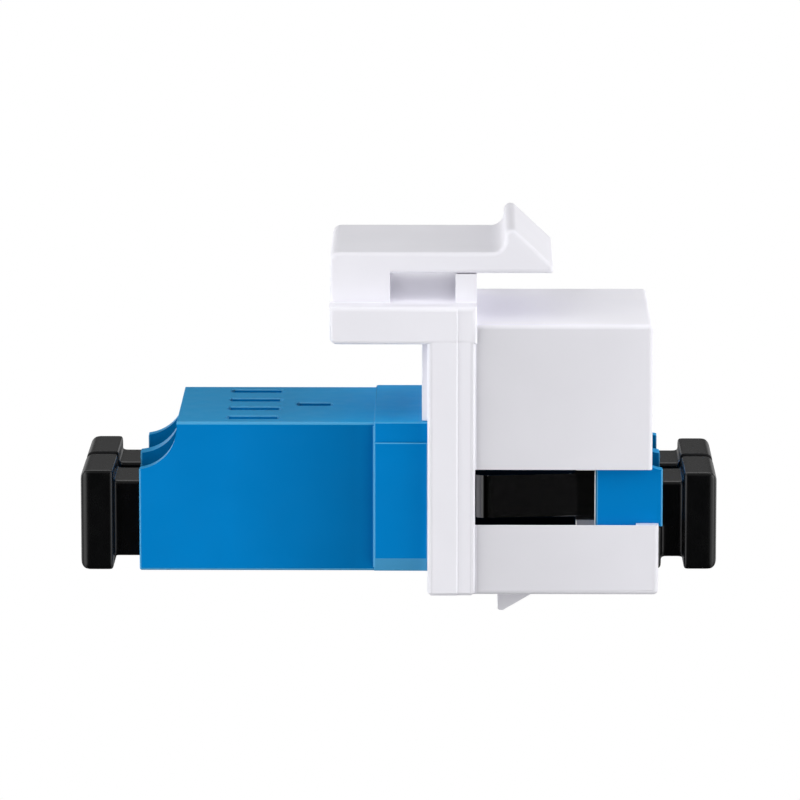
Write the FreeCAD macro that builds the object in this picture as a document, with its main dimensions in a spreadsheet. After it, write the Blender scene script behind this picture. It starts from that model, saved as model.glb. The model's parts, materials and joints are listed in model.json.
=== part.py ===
"""Keystone fibre coupler: a duplex adapter snapped into a keystone shell, with four dust caps.

X runs along the fibres, towards the front of the panel. Y runs across and Z up, in millimetres.
The origin lies on the panel seat plane, midway between the two fibre axes.
"""

import FreeCAD, Part
import math
import os

import Sketcher

SIZES = {
    # The two fibre axes and the square ports around them
    "port_pitch": 6.25,
    "port_width": 4.78,
    "latch_channel_rise": 2.81,
    # Adapter housing
    "housing_length": 31.84,
    "housing_width": 12.8,
    "floor_wall": 0.66,
    "roof_wall": 0.95,
    "housing_long_round": 0.22,
    "housing_end_round": 0.14,
    "end_cut_radius": 2.58,
    "end_cut_outset": 0.28,
    "end_cut_drop": 0.36,
    "septum_proud": 0.19,
    "stub_length": 3.24,
    "stub_proud": 0.45,
    "stub_step": 0.1,
    "stub_step_drop": 1.18,
    "stub_top_proud": 0.06,
    "stub_slope_height": 0.87,
    "latch_slot_length": 3.24,
    "latch_slot_width": 1.08,
    "latch_slot_offset": 1.6,
    "latch_slot_setback": 5.26,
    "latch_slot_depth": 1.45,
    "slot_corner_bevel": 0.15,
    "core_slot_length": 2.22,
    "core_slot_depth": 1.6,
    "core_slot_setback": 9.45,
    "mouth_notch_length": 1.6,
    "mouth_notch_top": 0.25,
    "side_hole_bottom": -0.34,
    "side_hole_height": 3.66,
    # Split sleeves and what holds them
    "ferrule_diameter": 1.25,
    "sleeve_wall": 0.185,
    "sleeve_length": 6.8,
    "sleeve_slit": 0.3,
    "sleeve_clearance": 0.06,
    "sleeve_end_float": 0.1,
    "barrel_wall": 0.6,
    "barrel_lip": 0.5,
    "lip_hole_clearance": 0.06,
    "partition_wall": 1.5,
    "retainer_plate": 0.9,
    "retainer_clearance": 0.05,
    # Spring clip round the housing
    "clip_sheet": 0.22,
    "clip_bend_radius": 0.3,
    "clip_strap_width": 1.2,
    "clip_strap_setback": 4.08,
    "clip_leg_top": 3.25,
    "clip_bend_inset": 0.08,
    "clip_root_round": 0.24,
    "clip_clearance": 0.06,
    "tongue_width": 2.62,
    "tongue_axis_height": 1.69,
    "tongue_flare": 0.72,
    "tongue_end_gap": 0.05,
    "tongue_tip_length": 0.5,
    "tongue_tip_curl": 0.26,
    "tongue_knee_round": 0.7,
    # Keystone shell
    "adapter_clearance": 0.05,
    "seat_setback": 0.09,
    "flange_thickness": 2.89,
    "flange_width": 15.4,
    "flange_front_length": 1.06,
    "flange_front_inset": 0.09,
    "parting_bevel": 0.07,
    "shell_floor": 1.25,
    "housing_proud": 0.67,
    "nose_width": 14.5,
    "nose_height": 16.64,
    "lip_reach": 0.41,
    "window_bottom": -0.04,
    "window_height": 3.42,
    "nib_length": 1.36,
    "lip_land": 0.1,
    "lip_relief": 0.45,
    "core_wall": 1.2,
    "core_floor": 1.1,
    "pad_proud": 0.34,
    "bar_drop": 1.17,
    "bar_height": 2.32,
    "bar_length": 8.91,
    "bar_proud": 0.04,
    "latch_width": 12.0,
    "latch_root_length": 3.64,
    "latch_slot_height": 1.78,
    "arm_thickness": 1.28,
    "post_thickness": 1.29,
    "post_gap": 0.04,
    "hook_setback": 1.7,
    "hook_rise": 1.93,
    "hook_reach": 2.92,
    "hook_nose": 0.49,
    "hook_root_round": 0.8,
    "hook_peak_round": 0.41,
    "hook_tip_round": 0.18,
    "lower_hook_setback": 1.31,
    "lower_hook_length": 2.67,
    "lower_hook_drop": 1.36,
    "lower_hook_toe": 0.34,
    "lower_hook_round": 0.14,
    "lower_hook_width": 10.4,
    "corner_round": 0.5,
    "edge_round": 0.3,
    "flange_foot_bevel": 0.2,
    "latch_edge_round": 0.26,
    # Dust caps
    "cap_clearance": 0.05,
    "cap_plug_length": 5.7,
    "cap_plug_round": 0.2,
    "cap_bore_diameter": 3.2,
    "cap_bore_depth": 3.2,
    "cap_head_thickness": 2.0,
    "cap_head_width": 5.9,
    "rear_head_height": 6.16,
    "front_head_height": 6.0,
    "cap_head_round": 0.48,
    "cap_head_bevel": 0.09,
    "cap_skirt_setback": 0.06,
    "cap_skirt_lift": 0.1,
    "cap_skirt_round": 0.14,
    "rear_cap_standoff": 1.61,
    "front_cap_standoff": 1.31,
}

# A cut starts this far outside the solid, and a hidden joint reaches this far into its neighbour
OVERRUN = "1"
SINK = "0.4"

# Lengths nearer than this count as equal, and a feature changes the volume by more than the other
CLOSE = 1e-4
LEAST_CHANGE = 1e-6


def size(name):
    """The sheet's cell for one driving dimension, as an expression."""
    return f"sizes.{name}"


# Heights that several pieces share, above the fibre axes
PORT_HALF = f"({size('port_width')} / 2)"
CHANNEL_TOP = f"({PORT_HALF} + {size('latch_channel_rise')})"
HOUSING_TOP = f"({CHANNEL_TOP} + {size('roof_wall')})"
HOUSING_BOTTOM = f"(-{PORT_HALF} - {size('floor_wall')})"
HOUSING_HALF = f"({size('housing_width')} / 2)"
NOSE_BOTTOM = f"({HOUSING_BOTTOM} - {size('adapter_clearance')} - {size('shell_floor')})"
NOSE_TOP = f"({NOSE_BOTTOM} + {size('nose_height')})"
BAR_BOTTOM = f"({NOSE_TOP} - {size('bar_drop')})"
BAR_TOP = f"({BAR_BOTTOM} + {size('bar_height')})"
ARM_BOTTOM = f"({BAR_TOP} + {size('latch_slot_height')})"
ARM_TOP = f"({ARM_BOTTOM} + {size('arm_thickness')})"
WINDOW_TOP = f"({size('window_bottom')} + {size('window_height')})"

# Stations along the fibres, from the panel seat plane
FLANGE_FRONT = f"(-{size('seat_setback')})"
FLANGE_REAR = f"({FLANGE_FRONT} - {size('flange_thickness')})"
PARTING = f"({FLANGE_FRONT} - {size('flange_front_length')})"
STUB_REAR = f"({FLANGE_REAR} - {size('stub_length')})"
HOUSING_MID = f"({FLANGE_REAR} - {size('stub_length')} / 2)"
HOUSING_REAR = f"({HOUSING_MID} - {size('housing_length')} / 2)"
HOUSING_FRONT = f"({HOUSING_MID} + {size('housing_length')} / 2)"
PARTITION_REAR = f"({HOUSING_MID} - {size('partition_wall')} / 2)"
PARTITION_FRONT = f"({HOUSING_MID} + {size('partition_wall')} / 2)"
CLIP_STRAP_FRONT = f"({HOUSING_FRONT} - {size('clip_strap_setback')})"
CLIP_STRAP_REAR = f"({CLIP_STRAP_FRONT} - {size('clip_strap_width')})"
NOSE_FRONT = f"({HOUSING_FRONT} - {size('housing_proud')})"

# Round sizes of the sleeve and its holders
SLEEVE_OUTER = f"({size('ferrule_diameter')} + 2 * {size('sleeve_wall')})"
BARREL_BORE = f"({SLEEVE_OUTER} + 2 * {size('sleeve_clearance')})"
BARREL_OUTER = f"({BARREL_BORE} + 2 * {size('barrel_wall')})"
LIP_HOLE = f"({size('ferrule_diameter')} + 2 * {size('lip_hole_clearance')})"
BORE_REACH = f"({size('sleeve_length')} / 2 + {size('sleeve_end_float')})"
BARREL_REACH = f"({BORE_REACH} + {size('barrel_lip')})"

# Depth of the recess that keeps the clip inside the housing's outline
CLIP_RECESS = f"({size('clip_sheet')} + {size('clip_clearance')})"

SIDES = {"near": -1, "far": 1}

doc = FreeCAD.newDocument("keystone_fibre_coupler")


def make_sheet():
    """Put every driving dimension in a cell of its own, under its own name."""
    sheet = doc.addObject("Spreadsheet::Sheet", "sizes")
    for row, (name, value) in enumerate(SIZES.items(), start=1):
        sheet.set(f"A{row}", name)
        sheet.set(f"B{row}", str(value))
        sheet.setAlias(f"B{row}", name)
    doc.recompute()
    return sheet


def value_of(expression):
    """The number that an expression gives with the sheet's present values."""
    return float(sheet.evalExpression(expression))


def new_body(label):
    body = doc.addObject("PartDesign::Body", label)
    body.Label = label
    return body


def new_sketch(body, name, plane, offset="0"):
    """An empty sketch on one of the body's own origin planes, moved along that plane's normal."""
    sketch = body.newObject("Sketcher::SketchObject", name)
    support = [feature for feature in body.Origin.OriginFeatures if feature.Role == plane][0]
    sketch.AttachmentSupport = [(support, "")]
    sketch.MapMode = "FlatFace"
    sketch.setExpression("AttachmentOffset.Base.z", offset)
    return sketch


def pin_point(sketch, geometry, point, place):
    """Hold one point of a sketch at a place given by two expressions."""
    for kind, expression in zip(("DistanceX", "DistanceY"), place):
        index = sketch.addConstraint(Sketcher.Constraint(kind, -1, 1, geometry, point, value_of(expression)))
        sketch.setExpression(f"Constraints[{index}]", expression)


def draw_polygon(sketch, corners):
    """Close a polygon through corners, each a pair of expressions."""
    first = sketch.GeometryCount
    places = [FreeCAD.Vector(value_of(across), value_of(up), 0) for across, up in corners]
    for start, end in zip(places, places[1:] + places[:1]):
        sketch.addGeometry(Part.LineSegment(start, end), False)
    count = len(corners)
    for index, corner in enumerate(corners):
        following = first + (index + 1) % count
        sketch.addConstraint(Sketcher.Constraint("Coincident", first + index, 2, following, 1))
        pin_point(sketch, first + index, 1, corner)


def draw_rectangle(sketch, low, high):
    draw_polygon(sketch, [low, (high[0], low[1]), high, (low[0], high[1])])


def draw_circle(sketch, centre, diameter):
    place = FreeCAD.Vector(value_of(centre[0]), value_of(centre[1]), 0)
    normal = FreeCAD.Vector(0, 0, 1)
    geometry = sketch.addGeometry(Part.Circle(place, normal, value_of(diameter) / 2), False)
    pin_point(sketch, geometry, 3, centre)
    index = sketch.addConstraint(Sketcher.Constraint("Diameter", geometry, value_of(diameter)))
    sketch.setExpression(f"Constraints[{index}]", diameter)


def extrude(body, kind, name, sketch, length, both_ways=False):
    """Pad or pocket a sketch. A pad grows along the plane's normal, a pocket cuts against it."""
    before = body.Shape.Volume if not body.Shape.isNull() else 0.0
    feature = body.newObject(f"PartDesign::{kind}", name)
    feature.Profile = sketch
    feature.SideType = "Symmetric" if both_ways else "One side"
    feature.setExpression("Length", length)
    doc.recompute()
    if abs(body.Shape.Volume - before) < LEAST_CHANGE:
        raise RuntimeError(f"{body.Label}: {name} changed nothing")
    return feature


def pad(body, name, sketch, length, both_ways=False):
    return extrude(body, "Pad", name, sketch, length, both_ways)


def pocket(body, name, sketch, length, both_ways=False):
    return extrude(body, "Pocket", name, sketch, length, both_ways)


def soften(body, name, radius, wanted, kind="Fillet"):
    """Fillet or chamfer those edges of the body's last feature for which wanted(edge) is true."""
    tip = body.Tip
    numbered = enumerate(tip.Shape.Edges, start=1)
    edges = [f"Edge{number}" for number, edge in numbered if not edge.Degenerated and wanted(edge)]
    if not edges:
        raise RuntimeError(f"{body.Label}: {name} found no edge")
    feature = body.newObject(f"PartDesign::{kind}", name)
    feature.Base = (tip, edges)
    feature.setExpression("Radius" if kind == "Fillet" else "Size", radius)
    doc.recompute()
    return feature


def same(first, second):
    return abs(first - second) < CLOSE


def middle(edge):
    return edge.valueAt((edge.FirstParameter + edge.LastParameter) / 2)


def runs_along(edge, axis):
    """Whether a straight edge lies along x, y or z."""
    if edge.Curve.TypeId != "Part::GeomLine":
        return False
    return same(abs(getattr(edge.Curve.Direction, axis)), 1)


def join(label, pieces):
    """Fuse bodies into one solid."""
    fused = doc.addObject("Part::MultiFuse", label)
    fused.Shapes = pieces
    fused.Refine = True
    doc.recompute()
    return fused


def nose_block():
    """The part that goes through the panel, with its side windows open to the front."""
    body = new_body("nose_block")
    sketch = new_sketch(body, "nose_profile", "XZ_Plane")
    rear = f"({FLANGE_FRONT} - {SINK})"
    lip_front = f"({NOSE_FRONT} + {size('lip_reach')})"
    corners = [
        (rear, NOSE_BOTTOM),
        (lip_front, NOSE_BOTTOM),
        (lip_front, size("window_bottom")),
        (FLANGE_FRONT, size("window_bottom")),
        (FLANGE_FRONT, WINDOW_TOP),
        (NOSE_FRONT, WINDOW_TOP),
        (NOSE_FRONT, NOSE_TOP),
        (rear, NOSE_TOP),
    ]
    draw_polygon(sketch, corners)
    pad(body, "nose", sketch, size("nose_width"), both_ways=True)
    half = value_of(size("nose_width")) / 2
    top, bottom = value_of(NOSE_TOP), value_of(NOSE_BOTTOM)
    fronts = (value_of(NOSE_FRONT), value_of(lip_front))

    def outer(edge):
        place = middle(edge)
        on_front = any(same(place.x, front) for front in fronts)
        if runs_along(edge, "x"):
            return same(place.z, top) or same(place.z, bottom)
        if runs_along(edge, "z"):
            return on_front and same(abs(place.y), half)
        return on_front and (same(place.z, top) or same(place.z, bottom))

    soften(body, "nose_rounds", size("edge_round"), outer)
    relieve_lips(body, f"({lip_front} - {size('nib_length')})")
    return body


def relieve_lips(body, station):
    """Slope the lips below the windows inwards, up to the flat nib at their front."""
    sketch = new_sketch(body, "lip_relief_section", "YZ_Plane", station)
    edge = f"({size('nose_width')} / 2 - {size('lip_land')})"
    low = f"({size('window_bottom')} - {size('lip_relief')})"
    for sign in SIDES.values():
        inner = f"({sign} * {HOUSING_HALF})"
        draw_polygon(sketch, [(f"({sign} * {edge})", size("window_bottom")),
                              (inner, low), (inner, size("window_bottom"))])
    pocket(body, "lip_relief", sketch, f"({station} - {FLANGE_FRONT})")


def plain_block(label, low, high, radius=None, wanted=None):
    """A box that is even about the middle plane, with rounded edges. low and high give X and Z."""
    body = new_body(label)
    sketch = new_sketch(body, f"{label}_profile", "XZ_Plane")
    draw_rectangle(sketch, (low[0], low[1]), (high[0], high[1]))
    pad(body, f"{label}_pad", sketch, high[2], both_ways=True)
    if radius:
        soften(body, f"{label}_rounds", radius, wanted)
    return body


def flange_blocks():
    """The flange plate, in the two depths that meet at the mould's parting line."""
    width = size("flange_width")
    front_width = f"({width} - 2 * {size('flange_front_inset')})"
    top = f"({BAR_BOTTOM} + {SINK})"
    inner = f"({PARTING} - {SINK})"
    parting_x, inner_x = value_of(PARTING), value_of(inner)
    bottom_z = value_of(NOSE_BOTTOM)

    def upright_at(station):
        face_x = value_of(station)
        return lambda edge: runs_along(edge, "z") and same(middle(edge).x, face_x)

    def foot_but_at(joined_x):
        return lambda edge: same(middle(edge).z, bottom_z) and not same(middle(edge).x, joined_x)

    rear = plain_block("flange_rear_block", (FLANGE_REAR, NOSE_BOTTOM), (PARTING, top, width),
                       size("edge_round"), upright_at(FLANGE_REAR))
    soften(rear, "rear_foot", size("flange_foot_bevel"), foot_but_at(parting_x), "Chamfer")
    soften(rear, "parting_ridge", size("parting_bevel"), upright_at(PARTING), "Chamfer")
    front = plain_block("flange_front_block", (inner, NOSE_BOTTOM), (FLANGE_FRONT, top, front_width),
                        size("edge_round"), upright_at(FLANGE_FRONT))
    soften(front, "front_foot", size("flange_foot_bevel"), foot_but_at(inner_x), "Chamfer")
    return [rear, front]


def bar_blocks():
    """The bar over the flange, which carries the latch behind the panel."""
    width = f"({size('flange_width')} + 2 * {size('bar_proud')})"
    front_width = f"({width} - 2 * {size('flange_front_inset')})"
    rear_x = value_of(f"-{size('bar_length')}")
    parting_x = value_of(PARTING)

    def end_corners(edge):
        return same(middle(edge).x, rear_x) and not runs_along(edge, "z")

    def long_edges(edge):
        return runs_along(edge, "x")

    rear = new_body("bar_rear_block")
    sketch = new_sketch(rear, "bar_rear_profile", "XZ_Plane")
    draw_rectangle(sketch, (f"-{size('bar_length')}", BAR_BOTTOM), (PARTING, BAR_TOP))
    pad(rear, "bar_rear", sketch, width, both_ways=True)
    bottom_z = value_of(BAR_BOTTOM)
    soften(rear, "bar_heel", size("corner_round"),
           lambda edge: end_corners(edge) and same(middle(edge).z, bottom_z))
    half = value_of(width) / 2
    soften(rear, "bar_rounds", size("edge_round"),
           lambda edge: same(abs(middle(edge).y), half) and not same(middle(edge).x, parting_x))
    soften(rear, "bar_ridge", size("parting_bevel"),
           lambda edge: runs_along(edge, "z") and same(middle(edge).x, parting_x), "Chamfer")
    inner = f"({PARTING} - {SINK})"
    front = plain_block("bar_front_block", (inner, BAR_BOTTOM), ("0", BAR_TOP, front_width),
                        size("edge_round"),
                        lambda edge: long_edges(edge) or runs_along(edge, "z") and same(middle(edge).x, 0))
    return [rear, front]


def latch_block():
    """The spring latch: a root on the bar, a thin arm over a slot, and a ramped hook at its end."""
    body = new_body("latch_block")
    sketch = new_sketch(body, "latch_profile", "XZ_Plane")
    rear = f"(-{size('bar_length')})"
    slot_rear = f"({rear} + {size('latch_root_length')})"
    sunk = f"({BAR_TOP} - {SINK})"
    tip = f"({size('hook_setback')} + {size('hook_reach')})"
    corners = [
        (rear, sunk),
        (slot_rear, sunk),
        (slot_rear, ARM_BOTTOM),
        (tip, ARM_BOTTOM),
        (tip, f"({ARM_BOTTOM} + {size('hook_nose')})"),
        (size("hook_setback"), f"({ARM_TOP} + {size('hook_rise')})"),
        (size("hook_setback"), ARM_TOP),
        (rear, ARM_TOP),
    ]
    draw_polygon(sketch, corners)
    pad(body, "latch", sketch, size("latch_width"), both_ways=True)
    places = [(value_of(across), value_of(up)) for across, up in corners]

    def at_corner(*numbers):
        def wanted(edge):
            place = middle(edge)
            return runs_along(edge, "y") and any(
                same(place.x, places[number][0]) and same(place.z, places[number][1]) for number in numbers)
        return wanted

    soften(body, "hook_peak", size("hook_peak_round"), at_corner(5))
    soften(body, "hook_root", size("hook_root_round"), at_corner(6))
    soften(body, "hook_tip", size("hook_tip_round"), at_corner(3, 4))
    soften(body, "latch_heel", size("corner_round"), at_corner(7))
    half = value_of(size("latch_width")) / 2
    under, slot = value_of(ARM_BOTTOM), value_of(slot_rear)
    low = value_of(sunk)

    def rim(edge):
        place = middle(edge)
        on_side = same(abs(place.y), half)
        return on_side and not same(place.z, under) and not same(place.x, slot) and not same(place.z, low)

    soften(body, "latch_rounds", size("latch_edge_round"), rim)
    return body


def lower_hook_block():
    """The fixed hook under the nose, with its ramp towards the front."""
    body = new_body("lower_hook_block")
    sketch = new_sketch(body, "lower_hook_profile", "XZ_Plane")
    rear = size("lower_hook_setback")
    front = f"({rear} + {size('lower_hook_length')})"
    foot = f"({NOSE_BOTTOM} - {size('lower_hook_drop')})"
    root = f"({NOSE_BOTTOM} + {SINK})"
    corners = [
        (rear, root),
        (rear, foot),
        (f"({rear} + {size('lower_hook_toe')})", foot),
        (front, NOSE_BOTTOM),
        (front, root),
    ]
    draw_polygon(sketch, corners)
    pad(body, "lower_hook", sketch, size("lower_hook_width"), both_ways=True)
    foot_z = value_of(foot)
    soften(body, "lower_hook_rounds", size("lower_hook_round"),
           lambda edge: runs_along(edge, "y") and same(middle(edge).z, foot_z))
    return body


def keystone_shell():
    """The moulded shell: nose, flange, bar, latch and hooks in one piece, hollow for the adapter."""
    pad_rear = f"({FLANGE_REAR} - {size('pad_proud')})"
    pad_bottom = f"({HOUSING_TOP} + {size('stub_top_proud')} + {size('adapter_clearance')})"
    inside = f"({FLANGE_REAR} + {SINK})"
    post_top = f"({ARM_BOTTOM} - {size('post_gap')})"
    rear_pad = plain_block("pad_block", (pad_rear, pad_bottom), (inside, f"({BAR_BOTTOM} + {SINK})",
                                                              size("housing_width")))
    post = plain_block("post_block", (f"(-{size('post_thickness')})", f"({BAR_TOP} - {SINK})"),
                       ("0", post_top, size("latch_width")))
    solid = join("shell_solid", [nose_block(), *flange_blocks(), *bar_blocks(), latch_block(), post,
                                 rear_pad, lower_hook_block()])
    gap = size("adapter_clearance")
    cavity = plain_block(
        "adapter_cavity",
        (f"({FLANGE_REAR} - {OVERRUN})", f"({HOUSING_BOTTOM} - {gap})"),
        (f"({HOUSING_FRONT} + {OVERRUN})", f"({HOUSING_TOP} + {gap})",
         f"({size('housing_width')} + 2 * {gap})"))
    core = plain_block(
        "core_pocket",
        (f"({pad_rear} - {OVERRUN})", f"({pad_bottom} + {size('core_floor')})"),
        (f"({NOSE_FRONT} - {size('core_wall')})", f"({BAR_BOTTOM} - {size('core_wall')})",
         f"({size('housing_width')} - 2 * {size('core_wall')})"))
    shell = doc.addObject("Part::Cut", "keystone_shell")
    shell.Base = solid
    shell.Tool = join("shell_hollows", [cavity, core])
    doc.recompute()
    return shell


def cut_housing_ends(body):
    """Scoop both top ends with a round cut, so that each port opens upwards at its mouth."""
    for end, face, outward in (("rear", HOUSING_REAR, "-"), ("front", HOUSING_FRONT, "+")):
        inward = "+" if outward == "-" else "-"
        centre_x = f"({face} {outward} {size('end_cut_outset')})"
        centre_z = f"({HOUSING_TOP} - {size('end_cut_drop')})"
        scoop = new_sketch(body, f"{end}_scoop_circle", "XZ_Plane")
        draw_circle(scoop, (centre_x, centre_z), f"(2 * {size('end_cut_radius')})")
        pocket(body, f"{end}_scoop", scoop, f"({size('housing_width')} + {OVERRUN})", both_ways=True)
        above = new_sketch(body, f"{end}_scoop_top", "XZ_Plane")
        outer = f"({face} {outward} {OVERRUN})"
        inner = f"({centre_x} {inward} {size('end_cut_radius')})"
        low, high = (outer, inner) if outward == "-" else (inner, outer)
        draw_rectangle(above, (low, centre_z), (high, f"({HOUSING_TOP} + {OVERRUN})"))
        pocket(body, f"{end}_scoop_mouth", above, f"({size('housing_width')} + {OVERRUN})", both_ways=True)


def round_housing(body):
    """Round the housing's long edges and the upright edges at its ends."""
    half = value_of(HOUSING_HALF)
    top, bottom = value_of(HOUSING_TOP), value_of(HOUSING_BOTTOM)
    proud = value_of(size("septum_proud"))
    rear, front = value_of(HOUSING_REAR), value_of(HOUSING_FRONT)
    ends = (rear - proud, rear, front)

    def long_edge(edge):
        place = middle(edge)
        on_level = same(place.z, top) or same(place.z, bottom)
        return runs_along(edge, "x") and on_level and same(abs(place.y), half)

    def end_edge(edge):
        place = middle(edge)
        on_wall = same(abs(place.y), half) or same(place.x, rear - proud)
        return runs_along(edge, "z") and on_wall and any(same(place.x, end) for end in ends)

    soften(body, "long_rounds", size("housing_long_round"), long_edge)
    soften(body, "end_rounds", size("housing_end_round"), end_edge)


def add_stub(body):
    """The raised band round the middle, whose front face seats on the shell's flange."""
    sketch = new_sketch(body, "stub_section", "YZ_Plane", STUB_REAR)
    half = HOUSING_HALF
    wide = f"({half} + {size('stub_proud')})"
    upper = f"({wide} - {size('stub_step')})"
    step = f"({HOUSING_TOP} - {size('stub_step_drop')})"
    slope = f"({HOUSING_BOTTOM} + {size('stub_slope_height')})"
    roof = f"({HOUSING_TOP} + {size('stub_top_proud')})"
    right = [(half, HOUSING_BOTTOM), (wide, slope), (wide, step), (upper, step), (upper, roof)]
    left = [(f"(-{across})", up) for across, up in reversed(right)]
    draw_polygon(sketch, right + left)
    pad(body, "stub", sketch, size("stub_length"))


def cut_ports(body):
    """Open two square ports from each end to the middle wall, each with its latch channel above."""
    reach = f"({size('housing_length')} / 2 - {size('partition_wall')} / 2 + {OVERRUN})"
    for end, plane in (("rear", PARTITION_REAR), ("front", f"({HOUSING_FRONT} + {OVERRUN})")):
        sketch = new_sketch(body, f"{end}_port_section", "YZ_Plane", plane)
        for sign in SIDES.values():
            axis = f"({sign} * {size('port_pitch')} / 2)"
            draw_rectangle(sketch, (f"({axis} - {PORT_HALF})", f"(-{PORT_HALF})"),
                           (f"({axis} + {PORT_HALF})", CHANNEL_TOP))
        pocket(body, f"{end}_ports", sketch, reach)


def cut_top_slots(body):
    """Two latch slots over each port and a shallow core slot over the middle wall, at both ends."""
    plane = f"({HOUSING_TOP} + {OVERRUN})"
    half_slot = f"({size('latch_slot_width')} / 2)"
    latch = new_sketch(body, "latch_slot_outlines", "XY_Plane", plane)
    core = new_sketch(body, "core_slot_outlines", "XY_Plane", plane)

    def slot(sketch, end, setback, length, across):
        if end == "rear":
            low = f"({HOUSING_REAR} + {setback})"
            high = f"({low} + {length})"
        else:
            high = f"({HOUSING_FRONT} - {setback})"
            low = f"({high} - {length})"
        draw_rectangle(sketch, (low, f"({across} - {half_slot})"), (high, f"({across} + {half_slot})"))

    for end in ("rear", "front"):
        slot(core, end, size("core_slot_setback"), size("core_slot_length"), "0")
        for sign in SIDES.values():
            for offset in ("-", "+"):
                across = f"({sign} * {size('port_pitch')} / 2 {offset} {size('latch_slot_offset')})"
                slot(latch, end, size("latch_slot_setback"), size("latch_slot_length"), across)
    pocket(body, "latch_slots", latch, f"({size('latch_slot_depth')} + {OVERRUN})")
    pocket(body, "core_slots", core, f"({size('core_slot_depth')} + {OVERRUN})")
    top = value_of(HOUSING_TOP)
    spans = [(value_of(size(f"{kind}_slot_setback")), value_of(size(f"{kind}_slot_length")))
             for kind in ("latch", "core")]
    rear, front = value_of(HOUSING_REAR), value_of(HOUSING_FRONT)

    def slot_corner(edge):
        place = middle(edge)
        if not runs_along(edge, "z") or max(vertex.Z for vertex in edge.Vertexes) < top - CLOSE:
            return False
        from_end = min(place.x - rear, front - place.x)
        return any(same(from_end, start) or same(from_end, start + length) for start, length in spans)

    soften(body, "slot_ends", size("slot_corner_bevel"), slot_corner, "Chamfer")


def cut_clip_recess(body):
    """A shallow recess round the bottom and sides takes the clip, and a hole behind each tongue."""
    inner = f"({HOUSING_HALF} - {CLIP_RECESS})"
    outer = f"({HOUSING_HALF} + {OVERRUN})"
    level = f"({HOUSING_BOTTOM} + {CLIP_RECESS})"
    below = f"({HOUSING_BOTTOM} - {OVERRUN})"
    top = f"({size('clip_leg_top')} + {size('clip_clearance')})"
    strap = new_sketch(body, "strap_recess_section", "YZ_Plane",
                       f"({CLIP_STRAP_FRONT} + {size('clip_clearance')})")
    right = [(outer, below), (outer, top), (inner, top), (inner, level)]
    left = [(f"(-{across})", up) for across, up in reversed(right)]
    draw_polygon(strap, right + left)
    pocket(body, "strap_recess", strap, f"({size('clip_strap_width')} + 2 * {size('clip_clearance')})")
    hole = new_sketch(body, "side_hole_section", "YZ_Plane", CLIP_STRAP_REAR)
    port_wall = f"({size('port_pitch')} / 2 + {PORT_HALF} - {SINK})"
    hole_top = f"({size('side_hole_bottom')} + {size('side_hole_height')})"
    draw_rectangle(hole, (port_wall, size("side_hole_bottom")), (outer, hole_top))
    draw_rectangle(hole, (f"(-{outer})", size("side_hole_bottom")), (f"(-{port_wall})", hole_top))
    pocket(body, "side_holes", hole, f"({CLIP_STRAP_REAR} - {FLANGE_FRONT})")


def cut_front_notch(body):
    """The lower front edge is set back, which leaves the port mouths open below."""
    sketch = new_sketch(body, "front_notch_profile", "XZ_Plane")
    draw_rectangle(sketch,
                   (f"({HOUSING_FRONT} - {size('mouth_notch_length')})", f"({HOUSING_BOTTOM} - {OVERRUN})"),
                   (f"({HOUSING_FRONT} + {OVERRUN})", f"(-{size('mouth_notch_top')})"))
    pocket(body, "front_notch", sketch, f"({size('housing_width')} + {OVERRUN})", both_ways=True)


def add_front_barrels(body):
    """Moulded barrels on the middle wall hold the front half of each sleeve behind an end lip."""
    barrel = new_sketch(body, "barrel_section", "YZ_Plane", PARTITION_FRONT)
    bore = new_sketch(body, "sleeve_bore_section", "YZ_Plane", f"({HOUSING_MID} + {BORE_REACH})")
    hole = new_sketch(body, "lip_hole_section", "YZ_Plane", f"({HOUSING_MID} + {BARREL_REACH} + {OVERRUN})")
    for sign in SIDES.values():
        axis = (f"({sign} * {size('port_pitch')} / 2)", "0")
        draw_circle(barrel, axis, BARREL_OUTER)
        draw_circle(bore, axis, BARREL_BORE)
        draw_circle(hole, axis, LIP_HOLE)
    pad(body, "front_barrels", barrel, f"({BARREL_REACH} - {size('partition_wall')} / 2)")
    pocket(body, "sleeve_bores", bore, f"({BORE_REACH} + {size('partition_wall')} / 2)")
    pocket(body, "lip_holes", hole, f"({size('barrel_lip')} + {OVERRUN})")


def adapter_housing():
    """The duplex adapter's one-piece body."""
    body = new_body("adapter_housing")
    sketch = new_sketch(body, "housing_section", "YZ_Plane", HOUSING_REAR)
    draw_rectangle(sketch, (f"(-{HOUSING_HALF})", HOUSING_BOTTOM), (HOUSING_HALF, HOUSING_TOP))
    pad(body, "housing_block", sketch, size("housing_length"))
    septum = new_sketch(body, "septum_section", "YZ_Plane", f"({HOUSING_REAR} - {size('septum_proud')})")
    septum_half = f"({size('port_pitch')} / 2 - {PORT_HALF})"
    draw_rectangle(septum, (f"(-{septum_half})", HOUSING_BOTTOM), (septum_half, HOUSING_TOP))
    pad(body, "septum", septum, f"({size('housing_length')} + {size('septum_proud')})")
    cut_housing_ends(body)
    round_housing(body)
    add_stub(body)
    cut_ports(body)
    cut_top_slots(body)
    cut_clip_recess(body)
    cut_front_notch(body)
    add_front_barrels(body)
    return body


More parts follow.
